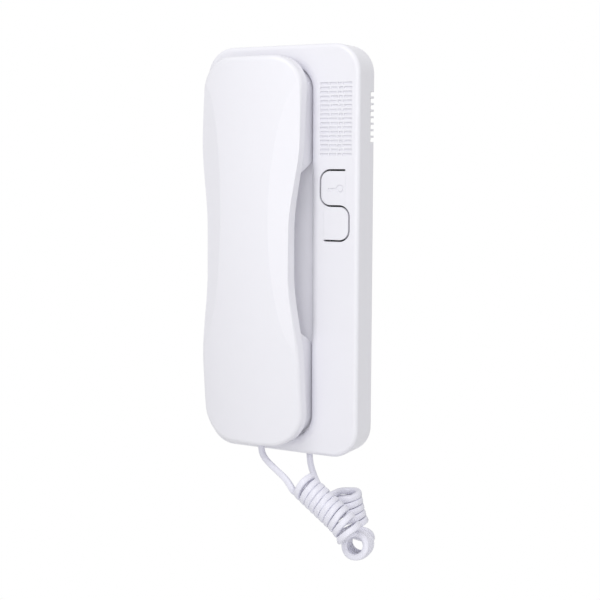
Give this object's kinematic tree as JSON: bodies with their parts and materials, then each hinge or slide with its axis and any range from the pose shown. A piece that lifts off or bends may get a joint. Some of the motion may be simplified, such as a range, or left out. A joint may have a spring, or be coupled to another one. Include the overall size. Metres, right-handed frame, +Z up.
{
  "type": "wall telephone",
  "caption": "White wall telephone with a lift-off handset in a trough, two flap keys behind an S-shaped slit, a fine grille pattern and a short curly cord.",
  "frame": {"origin": "middle of the flat rear face that lies on the wall", "axes": "+X right seen from the room, -Y out into the room, +Z up"},
  "size_m": [0.0984, 0.0423, 0.2599],
  "materials": {
    "abs_white": "smooth moulded",
    "cord_white": "smooth extruded",
    "dark_plastic": "moulded",
    "board": "lacquered laminate",
    "cone": "thin film",
    "steel": "zinc plated",
    "brass": "plain",
    "rubber": "moulded"
  },
  "bodies": {
    "base": {"wall_plate": "abs_white", "front_cover": "abs_white", "circuit_board": "board", "board_screws": "steel", "cover_screw": "steel", "ringer_basket": "steel", "ringer_magnet": "steel", "ringer_cone": "cone", "terminal_block": "dark_plastic", "terminal_screws": "steel", "terminal_clamps": "brass", "hook_pivot_pin": "steel", "hook_spring": "steel", "hook_switch_body": "dark_plastic", "unlock_switch_body": "dark_plastic", "call_switch_body": "dark_plastic", "base_cord_bushing": "abs_white", "cord_handset_lead": "cord_white", "cord_coil": "cord_white", "cord_base_lead": "cord_white"},
    "handset": {"handset_front": "abs_white", "handset_rear": "abs_white", "handset_screws": "steel", "receiver_gasket": "rubber", "receiver_diaphragm": "cone", "receiver_basket": "steel", "receiver_magnet": "steel", "microphone": "steel", "microphone_boot": "rubber", "handset_cord_bushing": "abs_white"},
    "hook_lever": {"hook_lever": "abs_white"},
    "hook_switch_plunger": {"hook_switch_plunger": "dark_plastic"},
    "unlock_key": {"unlock_key": "abs_white"},
    "call_key": {"call_key": "abs_white"},
    "unlock_switch_stem": {"unlock_switch_stem": "dark_plastic"},
    "call_switch_stem": {"call_switch_stem": "dark_plastic"}
  },
  "joints": [
    {"name": "handset_lift", "type": "slide", "parent": "base", "child": "handset", "axis": [0, -1, 0], "range_m": [0, 0.03]},
    {"name": "hook_swing", "type": "hinge", "parent": "base", "child": "hook_lever", "pos_m": [0.01, -0.0082, -0.062], "axis": [0, 0, 1], "range_deg": [0, 10.5]},
    {"name": "hook_plunger_travel", "type": "slide", "parent": "base", "child": "hook_switch_plunger", "axis": [0, 1, 0], "range_m": [0, 0.00271]},
    {"name": "unlock_key_press", "type": "hinge", "parent": "base", "child": "unlock_key", "pos_m": [0.03615, -0.018, 0.0325], "axis": [0, 0, -1], "range_deg": [0, 5], "stiffness_Nm_per_rad": 0.1},
    {"name": "call_key_press", "type": "hinge", "parent": "base", "child": "call_key", "pos_m": [0.02445, -0.018, 0.0151], "axis": [0, 0, 1], "range_deg": [0, 5], "stiffness_Nm_per_rad": 0.1},
    {"name": "unlock_stem_travel", "type": "slide", "parent": "base", "child": "unlock_switch_stem", "axis": [0, 1, 0], "range_m": [0, 0.00084212]},
    {"name": "call_stem_travel", "type": "slide", "parent": "base", "child": "call_switch_stem", "axis": [0, 1, 0], "range_m": [0, 0.0008334]}
  ],
  "couplings": [
    {"joint": "hook_swing", "follows": "handset_lift", "rad_per_m": 6.11},
    {"joint": "hook_plunger_travel", "follows": "handset_lift", "ratio": 0.090428},
    {"joint": "unlock_stem_travel", "follows": "unlock_key_press", "m_per_rad": 0.00965},
    {"joint": "call_stem_travel", "follows": "call_key_press", "m_per_rad": 0.00955}
  ]
}
